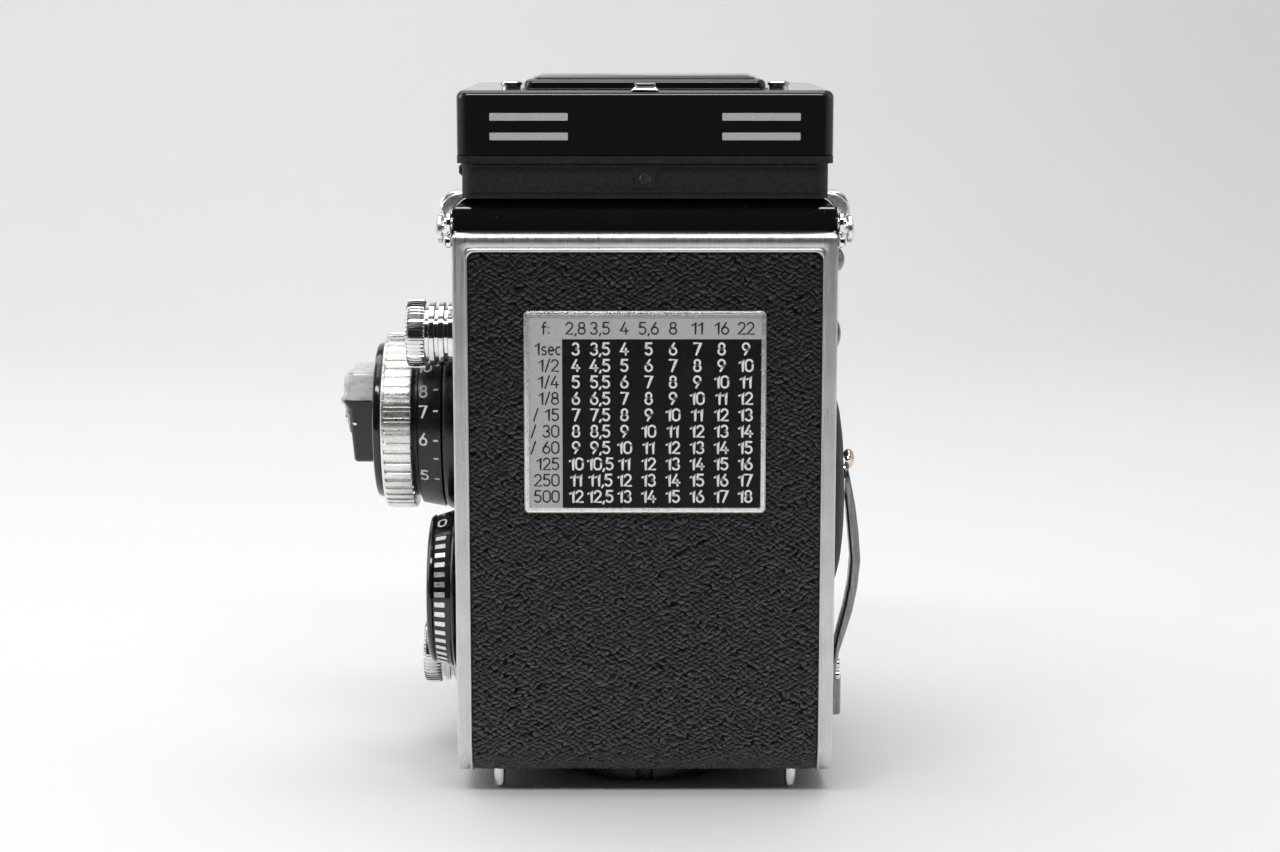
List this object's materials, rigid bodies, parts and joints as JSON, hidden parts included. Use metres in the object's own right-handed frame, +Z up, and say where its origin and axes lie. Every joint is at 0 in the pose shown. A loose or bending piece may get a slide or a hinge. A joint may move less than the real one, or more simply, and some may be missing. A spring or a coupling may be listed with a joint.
{
  "type": "twin lens reflex camera",
  "caption": "Medium format twin lens reflex camera with folding waist-level hood, hinged back, focusing knob, spool knobs and film crank.",
  "frame": {"origin": "mouth of the tripod socket, at the centre of the latch dial's face under the camera", "axes": "+Z up through the hood, -Y out of the lenses, +Y out of the back door, +X towards the focusing knob, -X towards the crank"},
  "size_m": [0.1102, 0.1069, 0.147],
  "materials": {
    "casting": "matte black inside, bare at the edges",
    "leather": "black pebble grain",
    "gloss_paint": "gloss black enamel",
    "wrinkle_paint": "fine black wrinkle",
    "matte_paint": "matte black",
    "satin_metal": "satin anodised",
    "chrome": "polished",
    "spring_steel": "dark nickel",
    "spool_black": "black enamel",
    "clear": "clear",
    "silvered": "front silvered",
    "cell": "ribbed translucent",
    "counter": "dark glossy bubble"
  },
  "bodies": {
    "body": {"body_casting": "casting", "side_covers": "casting", "side_leathers": "leather", "front_leather": "leather", "top_cover": "gloss_paint", "focusing_screen": "clear", "viewing_mirror": "silvered", "hood_base": "wrinkle_paint", "meter_cell_housing": "satin_metal", "meter_cell_window": "cell", "hinge_brackets": "chrome", "focus_index_collar": "matte_paint", "meter_housing": "gloss_paint", "meter_dome": "clear", "supply_spool_pivot": "spring_steel", "crank_base_disc": "gloss_paint", "counter_window": "counter"},
    "back_door": {"door_panel": "matte_paint", "door_leather": "leather", "door_frame": "satin_metal", "exposure_plate": "satin_metal", "pressure_plate": "matte_paint", "tripod_bush": "spring_steel", "door_feet": "chrome"},
    "latch": {"latch_dial": "matte_paint"},
    "lid": {"hood_lid": "gloss_paint", "finder_flap": "gloss_paint", "lid_studs": "chrome"},
    "right_panel": {"hood_panel_right": "matte_paint"},
    "left_panel": {"hood_panel_left": "matte_paint"},
    "rear_panel": {"hood_panel_rear": "matte_paint"},
    "magnifier": {"magnifier_frame": "matte_paint", "magnifier_lens": "clear"},
    "standard": {"front_standard": "satin_metal", "taking_lens_barrel": "matte_paint", "viewing_lens_barrel": "matte_paint", "lens_bayonets": "chrome", "lens_elements": "clear", "shutter_blades": "spring_steel", "flash_socket": "chrome"},
    "aperture_wheel": {"aperture_wheel": "chrome"},
    "shutter_wheel": {"shutter_wheel": "chrome"},
    "release_button": {"release_button": "chrome"},
    "release_lock": {"release_lock_ring": "chrome"},
    "timer_lever": {"timer_lever": "chrome"},
    "focus_knob": {"distance_drum": "matte_paint", "focus_ring": "satin_metal", "focus_shaft": "spring_steel"},
    "film_speed_disc": {"film_speed_disc": "gloss_paint"},
    "reminder_dial": {"reminder_dial": "gloss_paint"},
    "upper_spool_knob": {"upper_spool_knob": "chrome"},
    "lower_spool_knob": {"lower_spool_knob": "chrome"},
    "take_up": {"take_up_spool": "spool_black", "take_up_gear": "spring_steel"},
    "supply_spool": {"supply_spool": "spool_black"},
    "lower_roller": {"lower_film_roller": "spring_steel"},
    "upper_roller": {"upper_film_roller": "spring_steel"},
    "crank": {"crank_hub": "chrome", "crank_arm": "spring_steel"},
    "crank_handle": {"crank_handle": "spring_steel"}
  },
  "joints": [
    {"name": "door_hinge", "type": "hinge", "parent": "body", "child": "back_door", "pos_m": [0, 0.0285, 0.118], "axis": [1, 0, 0], "range_deg": [0, 110]},
    {"name": "latch_turn", "type": "hinge", "parent": "back_door", "child": "latch", "pos_m": [0, 0, 0.002], "axis": [0, 0, 1], "range_deg": [0, 60]},
    {"name": "lid_hinge", "type": "hinge", "parent": "body", "child": "lid", "pos_m": [0, -0.0314, 0.1436], "axis": [1, 0, 0], "range_deg": [0, 90]},
    {"name": "right_panel_fold", "type": "hinge", "parent": "body", "child": "right_panel", "pos_m": [0.0344, 0, 0.1338], "axis": [0, 1, 0], "range_deg": [0, 90]},
    {"name": "left_panel_fold", "type": "hinge", "parent": "body", "child": "left_panel", "pos_m": [-0.0344, 0, 0.1338], "axis": [0, -1, 0], "range_deg": [0, 90]},
    {"name": "rear_panel_fold", "type": "hinge", "parent": "body", "child": "rear_panel", "pos_m": [0, 0.026, 0.1323], "axis": [-1, 0, 0], "range_deg": [0, 90]},
    {"name": "magnifier_fold", "type": "hinge", "parent": "lid", "child": "magnifier", "pos_m": [0, -0.0074, 0.1411], "axis": [1, 0, 0], "range_deg": [-90, 0]},
    {"name": "focus_slide", "type": "slide", "parent": "body", "child": "standard", "axis": [0, -1, 0], "range_m": [0, 0.007]},
    {"name": "focus_turn", "type": "hinge", "parent": "body", "child": "focus_knob", "pos_m": [0.045, -0.004, 0.0733], "axis": [1, 0, 0], "range_deg": [0, 300]},
    {"name": "aperture_turn", "type": "hinge", "parent": "standard", "child": "aperture_wheel", "pos_m": [-0.0215, -0.055, 0.0672], "axis": [0, 1, 0], "range_deg": [0, 240]},
    {"name": "shutter_speed_turn", "type": "hinge", "parent": "standard", "child": "shutter_wheel", "pos_m": [0.0215, -0.055, 0.0672], "axis": [0, 1, 0], "range_deg": [0, 270]},
    {"name": "release_press", "type": "slide", "parent": "standard", "child": "release_button", "axis": [0, 1, 0], "range_m": [0, 0.0025], "stiffness_N_per_m": 400, "springref_m": -0.002},
    {"name": "release_lock_turn", "type": "hinge", "parent": "standard", "child": "release_lock", "pos_m": [-0.022, -0.054, 0.0217], "axis": [0, 1, 0], "range_deg": [0, 45]},
    {"name": "timer_swing", "type": "hinge", "parent": "standard", "child": "timer_lever", "pos_m": [0.0237, -0.053, 0.0574], "axis": [0, -1, 0], "range_deg": [0, 25]},
    {"name": "film_speed_turn", "type": "hinge", "parent": "body", "child": "film_speed_disc", "pos_m": [0.0556, -0.004, 0.0733], "axis": [1, 0, 0], "range_deg": [0, 300]},
    {"name": "reminder_turn", "type": "hinge", "parent": "body", "child": "reminder_dial", "pos_m": [0.042, 0.0125, 0.0401], "axis": [1, 0, 0], "continuous": true},
    {"name": "upper_knob_pull", "type": "slide", "parent": "body", "child": "upper_spool_knob", "axis": [1, 0, 0], "range_m": [0, 0.005], "stiffness_N_per_m": 300, "springref_m": -0.004},
    {"name": "lower_knob_pull", "type": "slide", "parent": "body", "child": "lower_spool_knob", "axis": [1, 0, 0], "range_m": [0, 0.005], "stiffness_N_per_m": 300, "springref_m": -0.004},
    {"name": "crank_turn", "type": "hinge", "parent": "body", "child": "crank", "pos_m": [-0.04, 0, 0.0619], "axis": [-1, 0, 0], "range_deg": [0, 180]},
    {"name": "take_up_turn", "type": "hinge", "parent": "body", "child": "take_up", "pos_m": [0, 0.0144, 0.0941], "axis": [-1, 0, 0], "range_deg": [-400, 0]},
    {"name": "handle_fold", "type": "hinge", "parent": "crank", "child": "crank_handle", "pos_m": [-0.0409, 0, 0.0182], "axis": [0, 1, 0], "range_deg": [0, 90]},
    {"name": "supply_turn", "type": "hinge", "parent": "body", "child": "supply_spool", "pos_m": [0, -0.0185, 0.0188], "axis": [1, 0, 0], "continuous": true},
    {"name": "lower_roller_turn", "type": "hinge", "parent": "body", "child": "lower_roller", "pos_m": [0, 0.0202, 0.0134], "axis": [1, 0, 0], "continuous": true},
    {"name": "upper_roller_turn", "type": "hinge", "parent": "body", "child": "upper_roller", "pos_m": [0, 0.0202, 0.078], "axis": [1, 0, 0], "continuous": true}
  ],
  "couplings": [
    {"joint": "right_panel_fold", "follows": "lid_hinge", "ratio": 1},
    {"joint": "left_panel_fold", "follows": "lid_hinge", "ratio": 1},
    {"joint": "rear_panel_fold", "follows": "lid_hinge", "ratio": 1},
    {"joint": "magnifier_fold", "follows": "lid_hinge", "ratio": -1},
    {"joint": "focus_turn", "follows": "focus_slide", "rad_per_m": 747.9},
    {"joint": "take_up_turn", "follows": "crank_turn", "ratio": -2.2143}
  ]
}
